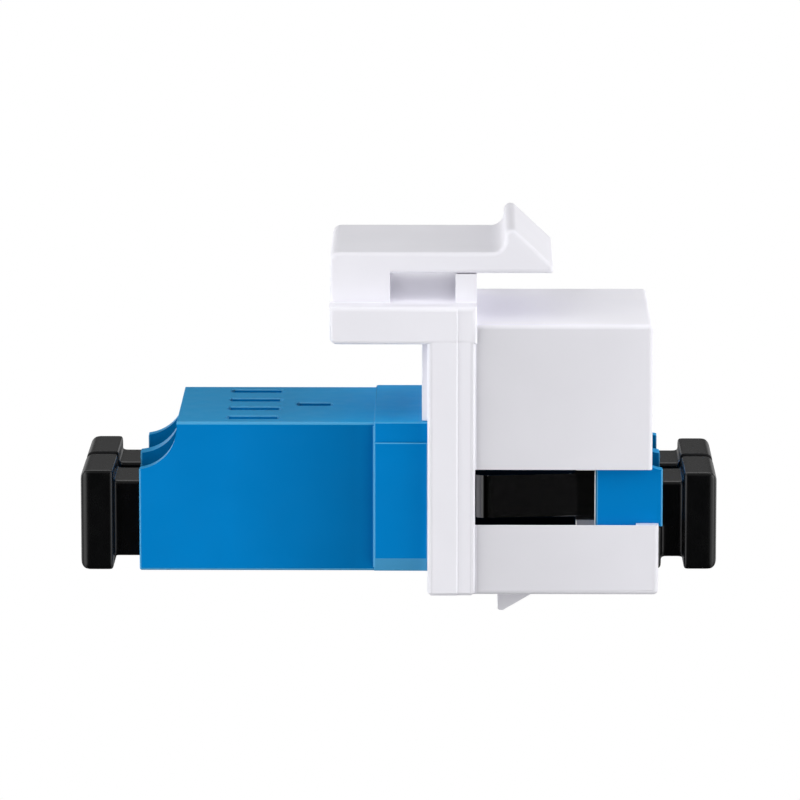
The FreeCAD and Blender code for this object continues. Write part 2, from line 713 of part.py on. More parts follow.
def sleeve_retainer(side):
    """The insert behind the middle wall that holds the rear half of one sleeve."""
    body = new_body(f"sleeve_retainer_{side}")
    half = f"({PORT_HALF} - {size('retainer_clearance')})"
    plate = new_sketch(body, f"retainer_plate_section_{side}", "YZ_Plane", f"(-{size('retainer_plate')})")
    draw_rectangle(plate, (f"(-{half})", f"(-{half})"), (half, half))
    pad(body, f"retainer_plate_{side}", plate, size("retainer_plate"))
    tip = f"({BARREL_REACH} - {size('partition_wall')} / 2)"
    barrel = new_sketch(body, f"retainer_barrel_section_{side}", "YZ_Plane", f"(-{tip})")
    draw_circle(barrel, ("0", "0"), BARREL_OUTER)
    pad(body, f"retainer_barrel_{side}", barrel, tip)
    bore = new_sketch(body, f"retainer_bore_section_{side}", "YZ_Plane", OVERRUN)
    draw_circle(bore, ("0", "0"), BARREL_BORE)
    pocket(body, f"retainer_bore_{side}", bore, f"({tip} - {size('barrel_lip')} + {OVERRUN})")
    hole = new_sketch(body, f"retainer_hole_section_{side}", "YZ_Plane", "0")
    draw_circle(hole, ("0", "0"), LIP_HOLE)
    pocket(body, f"retainer_hole_{side}", hole, f"({tip} + {OVERRUN})")
    place_body(body, PARTITION_REAR, side)
    return body


def split_sleeve(side):
    """A ceramic tube with one slit, which lines up two ferrules end to end."""
    body = new_body(f"split_sleeve_{side}")
    rear = f"(-{size('sleeve_length')} / 2)"
    tube = new_sketch(body, f"sleeve_section_{side}", "YZ_Plane", rear)
    draw_circle(tube, ("0", "0"), SLEEVE_OUTER)
    draw_circle(tube, ("0", "0"), size("ferrule_diameter"))
    pad(body, f"sleeve_tube_{side}", tube, size("sleeve_length"))
    slit = new_sketch(body, f"sleeve_slit_section_{side}", "YZ_Plane", f"({size('sleeve_length')} / 2)")
    half = f"({size('sleeve_slit')} / 2)"
    draw_rectangle(slit, (f"(-{half})", "0"), (half, SLEEVE_OUTER))
    pocket(body, f"sleeve_slit_{side}", slit, size("sleeve_length"))
    place_body(body, HOUSING_MID, side)
    return body


def place_body(body, along, side, turn=0):
    """Set a body on one fibre axis, at a station along it, turned about the vertical."""
    body.Placement.Rotation = FreeCAD.Rotation(FreeCAD.Vector(0, 0, 1), turn)
    body.setExpression("Placement.Base.x", along)
    body.setExpression("Placement.Base.y", f"{SIDES[side]} * {size('port_pitch')} / 2")
    doc.recompute()


def retaining_clip():
    """A spring-steel strap under the housing, with a tongue on each leg that locks behind the flange."""
    body = new_body("retaining_clip")
    lift = f"({size('clip_clearance')} / 2 - {CLIP_RECESS})"
    sheet_in = f"({HOUSING_HALF} + {lift})"
    sheet_out = f"({sheet_in} + {size('clip_sheet')})"
    level_in = f"({HOUSING_BOTTOM} - {lift})"
    level_out = f"({level_in} - {size('clip_sheet')})"
    strap = new_sketch(body, "clip_strap_section", "YZ_Plane", CLIP_STRAP_REAR)
    right = [(sheet_in, level_in), (sheet_in, size("clip_leg_top")),
             (sheet_out, size("clip_leg_top")), (sheet_out, level_out)]
    left = [(f"(-{across})", up) for across, up in reversed(right)]
    draw_polygon(strap, right + left)
    pad(body, "clip_strap", strap, size("clip_strap_width"))
    outer_y, outer_z = value_of(sheet_out), value_of(level_out)
    soften(body, "clip_bends", size("clip_bend_radius"),
           lambda edge: same(abs(middle(edge).y), outer_y) and same(middle(edge).z, outer_z))
    for side, sign in SIDES.items():
        add_tongue(body, side, sign, sheet_in)
    root_x = value_of(CLIP_STRAP_REAR)
    tongue_z = value_of(size("tongue_axis_height"))
    tongue_half = value_of(size("tongue_width")) / 2
    soften(body, "clip_roots", size("clip_root_round"),
           lambda edge: same(middle(edge).x, root_x) and same(abs(middle(edge).z - tongue_z), tongue_half))
    return body


def add_tongue(body, side, sign, sheet_in):
    """One leg's tongue: it flares outwards to the rear and its tip curls back along the housing."""
    sketch = new_sketch(body, f"tongue_profile_{side}", "XY_Plane", size("tongue_axis_height"))
    root = f"({CLIP_STRAP_REAR} + {size('clip_strap_width')} / 2)"
    bend = f"({CLIP_STRAP_REAR} + {size('clip_bend_inset')})"
    tip = f"({FLANGE_FRONT} + {size('tongue_end_gap')})"
    knee = f"({tip} + {size('tongue_tip_length')})"
    flared = f"({sheet_in} + {size('tongue_flare')})"
    curled = f"({flared} - {size('tongue_tip_curl')})"
    inner = [(root, sheet_in), (bend, sheet_in), (knee, flared), (tip, curled)]
    outer = [(along, f"({across} + {size('clip_sheet')})") for along, across in reversed(inner)]
    draw_polygon(sketch, [(along, f"({sign} * {across})") for along, across in inner + outer])
    pad(body, f"tongue_{side}", sketch, size("tongue_width"), both_ways=True)
    knee_x = value_of(knee)
    knee_out = value_of(f"({sign} * ({flared} + {size('clip_sheet')}))")
    knee_in = value_of(f"({sign} * {flared})")
    soften(body, f"tongue_knee_{side}", size("tongue_knee_round"),
           lambda edge: same(middle(edge).x, knee_x) and same(middle(edge).y, knee_out))
    soften(body, f"tongue_crook_{side}", f"({size('tongue_knee_round')} - {size('clip_sheet')})",
           lambda edge: same(middle(edge).x, knee_x) and same(middle(edge).y, knee_in))


def dust_cap(end, side):
    """A pull-out plug: a pillow-faced head, and a hollow plug that fills one port's mouth."""
    label = f"dust_cap_{end}_{side}"
    body = new_body(label)
    half = f"({PORT_HALF} - {size('cap_clearance')})"
    plug = new_sketch(body, f"{label}_plug_section", "YZ_Plane", f"(-{size('cap_plug_length')})")
    draw_rectangle(plug, (f"(-{half})", f"(-{half})"), (half, half))
    pad(body, f"{label}_plug", plug, f"({size('cap_plug_length')} + {SINK})")
    soften(body, f"{label}_plug_rounds", size("cap_plug_round"), lambda edge: runs_along(edge, "x"))
    add_cap_head(body, label, size(f"{end}_head_height"))
    if end == "front":
        add_cap_skirt(body, label)
    bore = new_sketch(body, f"{label}_bore_section", "YZ_Plane",
                      f"({size('cap_bore_depth')} - {size('cap_plug_length')})")
    draw_circle(bore, ("0", "0"), size("cap_bore_diameter"))
    pocket(body, f"{label}_bore", bore, f"({size('cap_bore_depth')} + {OVERRUN})")
    if end == "front":
        place_body(body, f"({HOUSING_FRONT} + {size('front_cap_standoff')})", side)
    else:
        place_body(body, f"({HOUSING_REAR} - {size('rear_cap_standoff')})", side, turn=180)
    return body


def add_cap_head(body, label, height):
    """The head: a square block whose outer face is rounded off all round."""
    thick = size("cap_head_thickness")
    wide = f"({size('cap_head_width')} / 2)"
    tall = f"({height} / 2)"
    head = new_sketch(body, f"{label}_head_section", "YZ_Plane", "0")
    draw_rectangle(head, (f"(-{wide})", f"(-{tall})"), (wide, tall))
    pad(body, f"{label}_head", head, thick)
    wide_y = value_of(wide)
    soften(body, f"{label}_head_edges", size("cap_head_bevel"),
           lambda edge: runs_along(edge, "x") and same(abs(middle(edge).y), wide_y), "Chamfer")
    for name, plane, reach in (("sides", "XY_Plane", wide), ("ends", "XZ_Plane", tall)):
        sketch = new_sketch(body, f"{label}_head_{name}_outline", plane)
        for sign in SIDES.values():
            draw_corner_cut(sketch, thick, reach, sign, size("cap_head_round"))
        pocket(body, f"{label}_head_{name}", sketch, f"({height} + {size('cap_head_width')})", both_ways=True)


def draw_corner_cut(sketch, along, across, sign, radius):
    """Outline what a round takes off the corner at (along, sign * across)."""
    start_along = f"({along} - {radius})"
    start_across = f"({sign} * ({across} - {radius}))"
    beyond_along = f"({along} + {OVERRUN})"
    beyond_across = f"({sign} * ({across} + {OVERRUN}))"
    corners = [(along, start_across), (beyond_along, start_across), (beyond_along, beyond_across),
               (start_along, beyond_across), (start_along, f"({sign} * {across})")]
    places = [FreeCAD.Vector(value_of(first), value_of(second), 0) for first, second in corners]
    first = sketch.GeometryCount
    for start, end in zip(places, places[1:]):
        sketch.addGeometry(Part.LineSegment(start, end), False)
    last = sketch.GeometryCount - 1
    centre = FreeCAD.Vector(value_of(start_along), value_of(start_across), 0)
    circle = Part.Circle(centre, FreeCAD.Vector(0, 0, 1), value_of(radius))
    turn = 0 if sign > 0 else -math.pi / 2
    arc = sketch.addGeometry(Part.ArcOfCircle(circle, turn, turn + math.pi / 2), False)
    for index in range(first, last):
        sketch.addConstraint(Sketcher.Constraint("Coincident", index, 2, index + 1, 1))
        pin_point(sketch, index, 1, corners[index - first])
    pin_point(sketch, last, 1, corners[-2])
    pin_point(sketch, last, 2, corners[-1])
    arc_start, arc_end = (1, 2) if sign > 0 else (2, 1)
    sketch.addConstraint(Sketcher.Constraint("Coincident", first, 1, arc, arc_start))
    sketch.addConstraint(Sketcher.Constraint("Coincident", last, 2, arc, arc_end))
    index = sketch.addConstraint(Sketcher.Constraint("Radius", arc, value_of(radius)))
    sketch.setExpression(f"Constraints[{index}]", radius)


def add_cap_skirt(body, label):
    """The skirt of a front cap, which fills the notch below the port's mouth."""
    gap = size("cap_clearance")
    rear = f"({gap} - {size('front_cap_standoff')} - {size('mouth_notch_length')})"
    front = f"(-{size('front_cap_standoff')} - {size('cap_skirt_setback')})"
    wide = f"({size('cap_head_width')} / 2)"
    low = f"({HOUSING_BOTTOM} + {size('cap_skirt_lift')})"
    sketch = new_sketch(body, f"{label}_skirt_profile", "XZ_Plane")
    draw_rectangle(sketch, (rear, low), (front, f"(-{size('mouth_notch_top')} - {gap})"))
    pad(body, f"{label}_skirt", sketch, f"(2 * {wide})", both_ways=True)
    low_z, front_x = value_of(low), value_of(front)

    def toe(edge):
        place = middle(edge)
        return runs_along(edge, "y") and same(place.z, low_z) and same(place.x, front_x)

    soften(body, f"{label}_skirt_toe", size("cap_skirt_round"), toe)


def check_document(parts):
    """Stop if any object failed, or if a sub-part isn't one valid solid."""
    failed = [item.Name for item in doc.Objects if "Invalid" in item.State or "Error" in item.State]
    if failed:
        raise RuntimeError(f"failed objects: {failed}")
    for part in parts:
        shape = part.Shape
        if shape.isNull() or not shape.isValid() or len(shape.Solids) != 1:
            raise RuntimeError(f"{part.Label} is not one valid solid")


sheet = make_sheet()
parts = [keystone_shell(), adapter_housing(), retaining_clip()]
for port_side in SIDES:
    parts.append(sleeve_retainer(port_side))
    parts.append(split_sleeve(port_side))
    parts.append(dust_cap("rear", port_side))
    parts.append(dust_cap("front", port_side))
doc.recompute()
check_document(parts)
os.makedirs("parts", exist_ok=True)
for part in parts:
    part.Shape.exportStep(f"parts/{part.Label}.step")
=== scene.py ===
"""Looks of the keystone fibre coupler: moulded plastics, spring steel and a plain white studio."""

import json
import math

import bpy
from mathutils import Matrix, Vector


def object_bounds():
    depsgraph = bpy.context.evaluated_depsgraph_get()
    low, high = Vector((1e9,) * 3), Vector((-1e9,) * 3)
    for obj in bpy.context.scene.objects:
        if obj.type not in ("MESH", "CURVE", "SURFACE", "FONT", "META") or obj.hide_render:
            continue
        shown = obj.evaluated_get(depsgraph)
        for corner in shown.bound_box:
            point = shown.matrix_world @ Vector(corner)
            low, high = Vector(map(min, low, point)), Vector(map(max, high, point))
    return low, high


MM = 0.001

# The photograph's camera, fitted to the object's edges
CAMERA_PLACE = Vector((-1.281, -373.367, 71.256)) * MM
CAMERA_PITCH_DOWN = math.radians(9.852)
CAMERA_YAW = math.radians(0.526)
CAMERA_LENS_MM = 276.4
SENSOR_MM = 36.0
CAMERA_NEAR = 0.01
CAMERA_FAR = 20.0

# The studio: a white floor under the object, and soft lights far away in a dim sky
FLOOR_DROP = 40 * MM
FLOOR_REACH = 3.0
WORLD_FILL = 0.004

# Each light: name, azimuth from the camera's side towards +X, elevation, bright core, soft rim and strength
STUDIO_LIGHTS = [
    ("left_front", -48, 0, 5, 30, 2.6),
    ("left_graze", -76, 5, 5, 24, 2.2),
    ("left_high", -60, 40, 5, 35, 2.2),
    ("left_back", -115, 10, 10, 40, 0.6),
    ("left_under", -75, -40, 10, 35, 1.6),
    ("right_front", 48, 0, 5, 30, 1.7),
    ("right_graze", 76, 5, 5, 24, 4.2),
    ("right_high", 60, 40, 5, 35, 1.8),
    ("right_back", 115, 10, 10, 40, 0.9),
    ("right_under", 75, -40, 10, 35, 1.2),
    ("front_high", 0, 52, 5, 35, 0.4),
    ("back_high", 180, 55, 10, 35, 1.3),
    ("back_left", -148, 0, 5, 26, 1.2),
    ("back_right", 148, 0, 5, 26, 1.2),
    ("back_mid", 180, 22, 5, 25, 0.15),
]

# A soft lamp in the slot under the latch arm, for the light that seems to pass through the plastic
SLOT_LIGHT_PLACE = Vector((-3.3, 0.0, 14.1)) * MM
SLOT_LIGHT_SIZE = (3.6 * MM, 13.0 * MM)
SLOT_LIGHT_POWER = 4.7e-5

# Colours of the finishes
SHELL_WHITE = (0.86, 0.853, 0.905, 1.0)
HOUSING_BLUE = (0.0, 0.206, 0.56, 1.0)
# A painted lighter blue for the housing's upper faces, for how the light falls on them
HOUSING_TOP_PAINTED_LIGHT_BLUE = (0.0, 0.27, 0.56, 1.0)
# Painted highlight on the housing's rounded edges
HOUSING_EDGE_HIGHLIGHT_BLUE = (0.10, 0.40, 0.66, 1.0)
CAP_BLACK = (0.0025, 0.0026, 0.0028, 1.0)
STEEL = (0.56, 0.56, 0.57, 1.0)
# Painted highlight on the clip's edges
STEEL_EDGE_HIGHLIGHT = (0.95, 0.93, 0.9, 1.0)
CERAMIC = (0.86, 0.85, 0.81, 1.0)
WHITE = (1.0, 1.0, 1.0, 1.0)
BLACK = (0.0, 0.0, 0.0, 1.0)

# Gloss of the finishes
PLASTIC_IOR = 1.5
CERAMIC_IOR = 1.9
SHELL_SPECULAR = 0.4
HOUSING_SPECULAR = 0.12
CAP_SPECULAR = 0.3
# Share of the painted highlight on the housing's edges
HOUSING_EDGE_HIGHLIGHT_SHARE = 0.7
CLIP_EDGE_ROUGHNESS = 0.7
CAP_GAP_ROUGHNESS = 1.0

# Tones by place on the part: stops of a place in millimetres and the share of the full colour there. All but
# the caps' are painted light and shade
# Along the housing's sides: painted shade, darker towards the raised band and near black behind the side
# windows
HOUSING_SIDE_PAINTED_SHADE = [(-15.0, 1.0), (-7.5, 0.7), (-6.22, 0.8), (-6.2, 1.0), (-2.9, 1.0), (-2.5, 0.05),
                      (6.4, 0.05), (6.8, 0.95)]
# Along the housing's top: painted light, lighter towards the flange
HOUSING_TOP_PAINTED_LIGHT = [(-12.0, 1.05), (-6.0, 1.5)]
# Along the nose's sides: painted shade, darker towards the flange
NOSE_SIDE_PAINTED_SHADE = [(0.0, 0.82), (10.0, 0.93)]
# Up the shell: painted light and shade, the nose's top lighter than the latch arm's
SHELL_TOP_PAINTED_LIGHT_AND_SHADE = [(13.0, 1.15), (14.0, 0.93)]
# Along the clip: painted shade, dark near the tips of its tongues
CLIP_PAINTED_SHADE = [(0.0, 0.36), (0.4, 0.05), (0.55, 0.05), (0.8, 0.6)]
# Across the caps: dull where the two of a pair face each other
CAP_GAP_TONES = [(0.45, 1.0), (0.7, 0.0)]

# The nose's painted shade lies on its sides ahead of this X and below this Z, and the clip's painted edge
# highlights ahead of this X
NOSE_START = 0.02 * MM
NOSE_TOP = 12.4 * MM
CLIP_EDGE_HIGHLIGHTS_FROM = 0.8 * MM

# A ramp holds its tones at this scale, so that a tone over 1 is still a plain grey in it
TONE_SCALE = 0.5
RAMP_MIDDLE = 0.5

# Most of a noise's values lie between these two
NOISE_LOW = 0.3
NOISE_HIGH = 0.7
NOISE_DETAIL = 2.0

# On a rounded edge the normal's share along Y lies between these two
EDGE_TURN_LOW = 0.25
EDGE_TURN_HIGH = 0.95

# Sockets of a mix node that mixes colours
MIX_SHARE = 0
MIX_FIRST = 6
MIX_SECOND = 7
MIX_RESULT = 2

# The small rounds that break the edges left sharp in the solids
EDGE_ROUNDS = {
    "shell_plastic": 0.045 * MM,
    "housing_plastic": 0.1 * MM,
    "clip_steel": 0.08 * MM,
    "sleeve_ceramic": 0.08 * MM,
}
EDGE_SEGMENTS = 2
EDGE_ANGLE = math.radians(50)
EDGE_REACH = 0.12 * MM
EDGE_SHORTEST = 0.4 * MM
FLAT_WEIGHT = 100
WELD_REACH = 0.001 * MM

# The dust caps are rounded over more: a fine grid, evened out in small steps
CAP_GRID = 0.07 * MM
CAP_STEP = 0.5
CAP_STEPS = 32
CAP_FLAT_ANGLE = math.radians(0.4)


def shade(colour, factor):
    """The same colour, lighter or darker."""
    return tuple(min(1.0, channel * factor) for channel in colour[:3]) + (1.0,)


class Finish:
    """A material under construction: its node tree, its main shader and short ways to add nodes."""

    def __init__(self, name):
        self.material = bpy.data.materials.new(name)
        self.material.use_nodes = True
        self.tree = self.material.node_tree
        self.shader = self.tree.nodes["Principled BSDF"]
        coordinates = self.tree.nodes.new("ShaderNodeTexCoord")
        self.place = coordinates.outputs["Object"]
        self.facing = coordinates.outputs["Normal"]

    def set(self, **values):
        """Set numbers and colours on the shader's own sockets."""
        for name, value in values.items():
            self.shader.inputs[name.replace("_", " ")].default_value = value

    def feed(self, name, source):
        """Link an output to one of the shader's sockets."""
        self.tree.links.new(source, self.shader.inputs[name])

    def made(self, name):
        """What feeds one of the shader's sockets so far."""
        return self.shader.inputs[name].links[0].from_socket

    def noise(self, grain, stretch=(1.0, 1.0, 1.0)):
        """A noise with grains of this size in metres, drawn out along the axes by stretch."""
        mapping = self.tree.nodes.new("ShaderNodeMapping")
        mapping.inputs["Scale"].default_value = [1 / (grain * part) for part in stretch]
        self.tree.links.new(self.place, mapping.inputs["Vector"])
        noise = self.tree.nodes.new("ShaderNodeTexNoise")
        noise.inputs["Scale"].default_value = 1.0
        noise.inputs["Detail"].default_value = NOISE_DETAIL
        self.tree.links.new(mapping.outputs["Vector"], noise.inputs["Vector"])
        return noise.outputs["Fac"]

    def vary(self, source, name, low, high):
        """Let a noise move one of the shader's numbers between two values."""
        spread = self.tree.nodes.new("ShaderNodeMapRange")
        spread.inputs["From Min"].default_value = NOISE_LOW
        spread.inputs["From Max"].default_value = NOISE_HIGH
        spread.inputs["To Min"].default_value = low
        spread.inputs["To Max"].default_value = high
        self.tree.links.new(source, spread.inputs["Value"])
        self.feed(name, spread.outputs["Result"])

    def tint(self, source, colour, spread):
        """Let a noise make the base colour lighter and darker by this share."""
        ramp = self.tree.nodes.new("ShaderNodeValToRGB")
        first, last = ramp.color_ramp.elements
        first.position = NOISE_LOW
        first.color = shade(colour, 1.0 - spread)
        last.position = NOISE_HIGH
        last.color = shade(colour, 1.0 + spread)
        self.tree.links.new(source, ramp.inputs["Fac"])
        self.feed("Base Color", ramp.outputs["Color"])

    def bump(self, source, height):
        """Raise the surface by a noise of this height in metres."""
        bump = self.tree.nodes.new("ShaderNodeBump")
        bump.inputs["Strength"].default_value = 1.0
        bump.inputs["Distance"].default_value = height
        self.tree.links.new(source, bump.inputs["Height"])
        self.feed("Normal", bump.outputs["Normal"])

    def sums(self, operation, first, second=0.0):
        """One step of arithmetic, on outputs or plain numbers."""
        step = self.tree.nodes.new("ShaderNodeMath")
        step.operation = operation
        for socket, value in zip(step.inputs, (first, second)):
            if isinstance(value, (int, float)):
                socket.default_value = value
            else:
                self.tree.links.new(value, socket)
        return step.outputs["Value"]

    def parts(self, source):
        """The X, Y and Z of a vector."""
        split = self.tree.nodes.new("ShaderNodeSeparateXYZ")
        self.tree.links.new(source, split.inputs["Vector"])
        return split.outputs["X"], split.outputs["Y"], split.outputs["Z"]

    def side(self):
        """How far the surface faces along Y, either way."""
        return self.sums("ABSOLUTE", self.parts(self.facing)[1])

    def top(self):
        """How far the surface faces up."""
        return self.sums("MAXIMUM", self.parts(self.facing)[2])

    def edges(self, share):
        """Where the surface turns away from a side face, as on a rounded edge: the mask of the painted edge
        highlights.
        """
        side = self.side()
        inside = self.sums("MULTIPLY", self.sums("GREATER_THAN", side, EDGE_TURN_LOW),
                           self.sums("LESS_THAN", side, EDGE_TURN_HIGH))
        return self.sums("MULTIPLY", inside, share)

    def ramp(self, source, stops):
        """A tone that follows stops of place in millimetres and tone."""
        first = stops[0][0] * MM
        last = stops[-1][0] * MM
        spread = self.tree.nodes.new("ShaderNodeMapRange")
        spread.inputs["From Min"].default_value = first
        spread.inputs["From Max"].default_value = last
        self.tree.links.new(source, spread.inputs["Value"])
        ramp = self.tree.nodes.new("ShaderNodeValToRGB")
        elements = ramp.color_ramp.elements
        while len(elements) < len(stops):
            elements.new(RAMP_MIDDLE)
        for element, (place, tone) in zip(elements, stops):
            element.position = (place * MM - first) / (last - first)
            element.color = (tone * TONE_SCALE, tone * TONE_SCALE, tone * TONE_SCALE, 1.0)
        self.tree.links.new(spread.outputs["Result"], ramp.inputs["Fac"])
        return self.sums("DIVIDE", ramp.outputs["Color"], TONE_SCALE)

    def blend(self, share, first, second):
        """A number between two others."""
        rest = self.sums("SUBTRACT", 1.0, share)
        return self.sums("ADD", self.sums("MULTIPLY", rest, first), self.sums("MULTIPLY", share, second))

    def mix(self, share, first, second):
        """A colour between an output and a plain colour."""
        mix = self.tree.nodes.new("ShaderNodeMix")
        mix.data_type = "RGBA"
        self.tree.links.new(share, mix.inputs[MIX_SHARE])
        self.tree.links.new(first, mix.inputs[MIX_FIRST])
        mix.inputs[MIX_SECOND].default_value = second
        return mix.outputs[MIX_RESULT]

    def recolour(self, share, colour):
        """Move the base colour towards another one."""
        self.feed("Base Color", self.mix(share, self.made("Base Color"), colour))

    def paint_light_and_shade(self, tone):
        """Multiply the base colour, whatever it is made from, by a tone, to paint light and shade on it."""
        scale = self.tree.nodes.new("ShaderNodeVectorMath")
        scale.operation = "SCALE"
        self.tree.links.new(self.made("Base Color"), scale.inputs[0])
        self.tree.links.new(tone, scale.inputs["Scale"])
        self.feed("Base Color", scale.outputs["Vector"])

    def roughen(self, share, roughness):
        """Move the roughness towards another one."""
        self.feed("Roughness", self.blend(share, self.made("Roughness"), roughness))


def shell_finish():
    """Satin white moulding, with painted shade on the nose's sides and painted light and shade on the upper
    faces.
    """
    finish = Finish("shell_plastic")
    along, _, up = finish.parts(finish.place)
    nose = finish.sums("MULTIPLY", finish.sums("GREATER_THAN", along, NOSE_START),
                       finish.sums("LESS_THAN", up, NOSE_TOP))
    nose_painted_shade_mask = finish.sums("MULTIPLY", finish.side(), nose)
    finish.tint(finish.noise(grain=6 * MM), SHELL_WHITE, spread=0.015)
    # Painted shade on the nose's sides, darker towards the flange
    finish.paint_light_and_shade(finish.blend(nose_painted_shade_mask, 1.0, finish.ramp(along, NOSE_SIDE_PAINTED_SHADE)))
    # Painted light on the nose's top and painted shade on the latch arm's top
    finish.paint_light_and_shade(finish.blend(finish.top(), 1.0, finish.ramp(up, SHELL_TOP_PAINTED_LIGHT_AND_SHADE)))
    finish.vary(finish.noise(grain=1.5 * MM), "Roughness", low=0.42, high=0.5)
    finish.bump(finish.noise(grain=0.12 * MM), height=0.0012 * MM)
    finish.set(IOR=PLASTIC_IOR, Specular_IOR_Level=SHELL_SPECULAR)
    return finish.material


def housing_finish():
    """Satin blue moulding, with painted highlights on its edges, a painted lighter blue on its upper faces,
    and painted light and shade along its top and sides.
    """
    finish = Finish("housing_plastic")
    along = finish.parts(finish.place)[0]
    top = finish.top()
    finish.tint(finish.noise(grain=5 * MM), HOUSING_BLUE, spread=0.03)
    # Painted light: the upper faces take a lighter blue
    finish.recolour(top, HOUSING_TOP_PAINTED_LIGHT_BLUE)
    # Painted shade along the sides: darker towards the raised band, near black behind the side windows
    finish.paint_light_and_shade(finish.blend(finish.side(), 1.0, finish.ramp(along, HOUSING_SIDE_PAINTED_SHADE)))
    # Painted light along the top, lighter towards the flange
    finish.paint_light_and_shade(finish.blend(top, 1.0, finish.ramp(along, HOUSING_TOP_PAINTED_LIGHT)))
    # Painted highlights on the rounded edges
    finish.recolour(finish.edges(HOUSING_EDGE_HIGHLIGHT_SHARE), HOUSING_EDGE_HIGHLIGHT_BLUE)
    finish.vary(finish.noise(grain=1.2 * MM), "Roughness", low=0.3, high=0.36)
    finish.bump(finish.noise(grain=0.1 * MM), height=0.001 * MM)
    finish.set(IOR=PLASTIC_IOR, Specular_IOR_Level=HOUSING_SPECULAR)
    return finish.material


def cap_finish():
    """Satin black moulding."""
    finish = Finish("cap_plastic")
    across = finish.sums("ABSOLUTE", finish.parts(finish.place)[1])
    finish.tint(finish.noise(grain=3 * MM), CAP_BLACK, spread=0.1)
    finish.vary(finish.noise(grain=0.8 * MM), "Roughness", low=0.22, high=0.28)
    finish.roughen(finish.ramp(across, CAP_GAP_TONES), CAP_GAP_ROUGHNESS)
    finish.bump(finish.noise(grain=0.1 * MM), height=0.001 * MM)
    finish.set(IOR=PLASTIC_IOR, Specular_IOR_Level=CAP_SPECULAR)
    return finish.material


def clip_finish():
    """Bright rolled spring steel, with fine lines along the strip, painted highlights on its edges and
    painted shade near the tips of its tongues.
    """
    finish = Finish("clip_steel")
    along = finish.parts(finish.place)[0]
    lines = finish.noise(grain=0.05 * MM, stretch=(40.0, 1.0, 1.0))
    painted_edge_highlights = finish.edges(finish.sums("GREATER_THAN", along, CLIP_EDGE_HIGHLIGHTS_FROM))
    finish.tint(finish.noise(grain=1.0 * MM), STEEL, spread=0.05)
    # Painted shade, dark near the tips of the tongues
    finish.paint_light_and_shade(finish.ramp(along, CLIP_PAINTED_SHADE))
    # Painted highlights on the edges
    finish.recolour(painted_edge_highlights, STEEL_EDGE_HIGHLIGHT)
    finish.vary(lines, "Roughness", low=0.1, high=0.16)
    finish.roughen(painted_edge_highlights, CLIP_EDGE_ROUGHNESS)
    finish.bump(lines, height=0.0002 * MM)
    finish.set(Metallic=1.0)
    return finish.material


def sleeve_finish():
    """Polished white ceramic."""
    finish = Finish("sleeve_ceramic")
    finish.tint(finish.noise(grain=0.6 * MM), CERAMIC, spread=0.03)
    finish.vary(finish.noise(grain=0.3 * MM), "Roughness", low=0.1, high=0.16)
    finish.bump(finish.noise(grain=0.05 * MM), height=0.0003 * MM)
    finish.set(IOR=CERAMIC_IOR)
    return finish.material


def floor_finish():
    """Bright white paper, lit evenly."""
    finish = Finish("floor_white")
    finish.set(Base_Color=BLACK, Roughness=1.0, Emission_Color=WHITE, Emission_Strength=1.0,
               Specular_IOR_Level=0.0)
    return finish.material


def shape_nodes(name):
    """An empty group of geometry nodes, with its input and its output."""
    group = bpy.data.node_groups.new(name, "GeometryNodeTree")
    group.interface.new_socket("Geometry", in_out="INPUT", socket_type="NodeSocketGeometry")
    group.interface.new_socket("Geometry", in_out="OUTPUT", socket_type="NodeSocketGeometry")
    return group, group.nodes.new("NodeGroupInput"), group.nodes.new("NodeGroupOutput")


def over(group, source, limit):
    """Where a number is over a limit."""
    test = group.nodes.new("ShaderNodeMath")
    test.operation = "GREATER_THAN"
    test.inputs[1].default_value = limit
    group.links.new(source, test.inputs[0])
    return test.outputs["Value"]


def apart(group, first, second):
    """How far two places are apart."""
    distance = group.nodes.new("ShaderNodeVectorMath")
    distance.operation = "DISTANCE"
    group.links.new(first, distance.inputs[0])
    group.links.new(second, distance.inputs[1])
    return distance.outputs["Value"]


def sharp_edges(group):
    """Which edges are sharp."""
    turn = group.nodes.new("GeometryNodeInputMeshEdgeAngle")
    return over(group, turn.outputs["Unsigned Angle"], EDGE_ANGLE)


def store(group, geometry, domain, kind, name, value):
    """The geometry with a named value stored on its points or edges."""
    keep = group.nodes.new("GeometryNodeStoreNamedAttribute")
    keep.data_type = kind
    keep.domain = domain
    keep.inputs["Name"].default_value = name
    group.links.new(geometry, keep.inputs["Geometry"])
    group.links.new(value, keep.inputs["Value"])
    return keep.outputs["Geometry"]


def note_corners():
    """Nodes that note where each corner stands, and mark the sharp edges that are long enough to round."""
    group, start, end = shape_nodes("note_corners")
    ends = group.nodes.new("GeometryNodeInputMeshEdgeVertices")
    length = apart(group, ends.outputs["Position 1"], ends.outputs["Position 2"])
    both = group.nodes.new("ShaderNodeMath")
    both.operation = "MULTIPLY"
    group.links.new(sharp_edges(group), both.inputs[0])
    group.links.new(over(group, length, EDGE_SHORTEST), both.inputs[1])
    place = group.nodes.new("GeometryNodeInputPosition").outputs["Position"]
    round_here = both.outputs["Value"]
    marked = store(group, start.outputs["Geometry"], "EDGE", "FLOAT", "bevel_weight_edge", round_here)
    noted = store(group, marked, "POINT", "FLOAT_VECTOR", "corner", place)
    group.links.new(noted, end.inputs["Geometry"])
    return group


